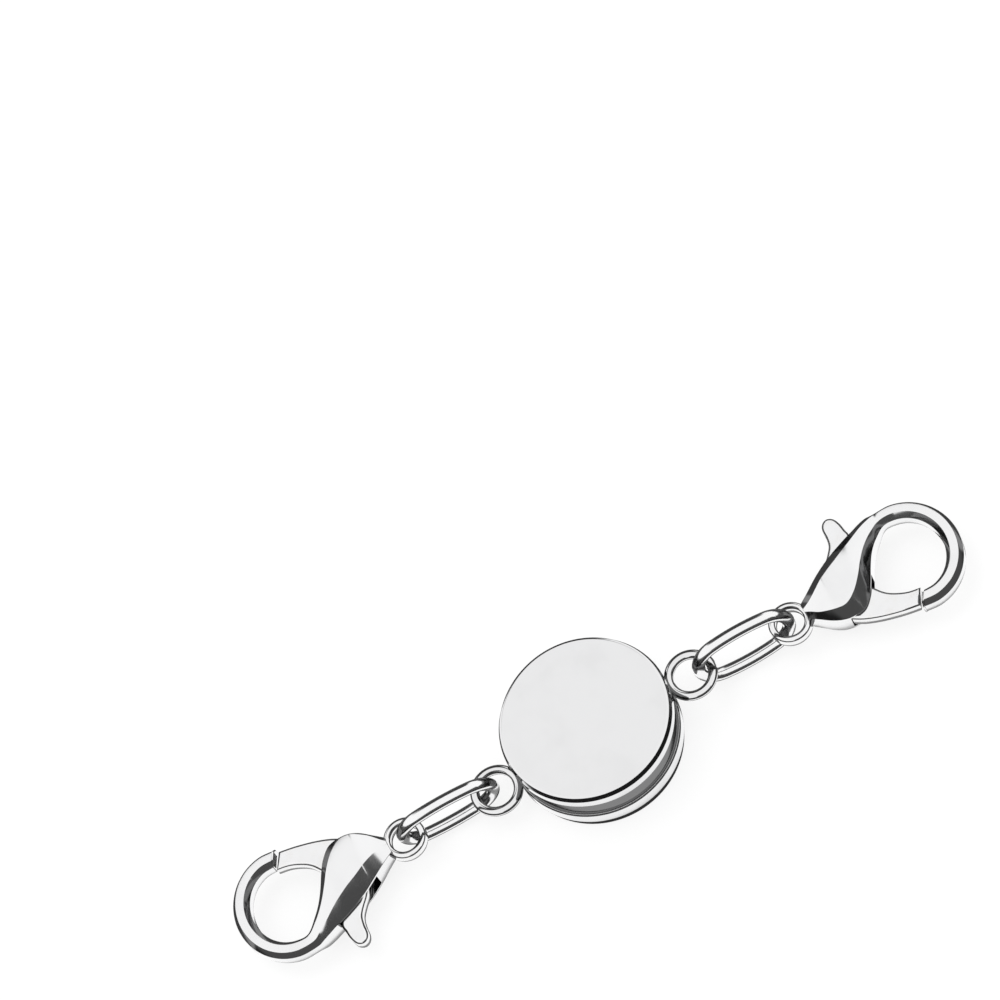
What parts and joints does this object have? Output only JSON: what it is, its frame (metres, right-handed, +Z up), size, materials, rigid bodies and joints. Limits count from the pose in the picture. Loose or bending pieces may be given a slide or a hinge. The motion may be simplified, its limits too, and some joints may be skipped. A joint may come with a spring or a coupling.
{
  "type": "magnetic clasp",
  "caption": "Round magnetic clasp, closed, with a soldered ring, jump ring and lobster claw on each side, lying flat.",
  "frame": {"origin": "on the axis of the two round halves, in the plane of the lower half's outer face, on which the clasp lies", "axes": "+X along the chain from the lower half's claw to the upper half's claw, +Z up out of the upper half's outer face, along which the halves part, +Y the side of the upper claw's trigger"},
  "size_m": [0.0462, 0.01, 0.004],
  "materials": {
    "polished_plate": "polished silver-tone plating",
    "claw_plate": "polished silver-tone plating over a casting",
    "lever_plate": "polished silver-tone plating over a stamping",
    "ring_wire": "polished drawn wire",
    "magnet_plate": "satin nickel plating on a magnet",
    "pin_steel": "plain steel pin"
  },
  "bodies": {
    "lower_half": {"lower_cup": "polished_plate", "lower_magnet": "magnet_plate", "lower_jump_ring": "ring_wire", "lower_claw_body": "claw_plate", "lower_claw_pin": "pin_steel"},
    "upper_half": {"upper_cup": "polished_plate", "upper_magnet": "magnet_plate", "upper_jump_ring": "ring_wire", "upper_claw_body": "claw_plate", "upper_claw_pin": "pin_steel"},
    "lower_lever": {"lower_claw_lever": "lever_plate"},
    "upper_lever": {"upper_claw_lever": "lever_plate"}
  },
  "joints": [
    {"name": "halves_part", "type": "slide", "parent": "lower_half", "child": "upper_half", "axis": [0, 0, 1], "range_m": [0, 0.012]},
    {"name": "lower_lever_swing", "type": "hinge", "parent": "lower_half", "child": "lower_lever", "pos_m": [-0.01527, 0.00015, 0.0015], "axis": [0, 0, 1], "range_deg": [0, 22], "stiffness_Nm_per_rad": 0.004, "springref_deg": -17.19},
    {"name": "upper_lever_swing", "type": "hinge", "parent": "upper_half", "child": "upper_lever", "pos_m": [0.01574, -0.00015, 0.0015], "axis": [0, 0, 1], "range_deg": [0, 22], "stiffness_Nm_per_rad": 0.004, "springref_deg": -17.19}
  ]
}
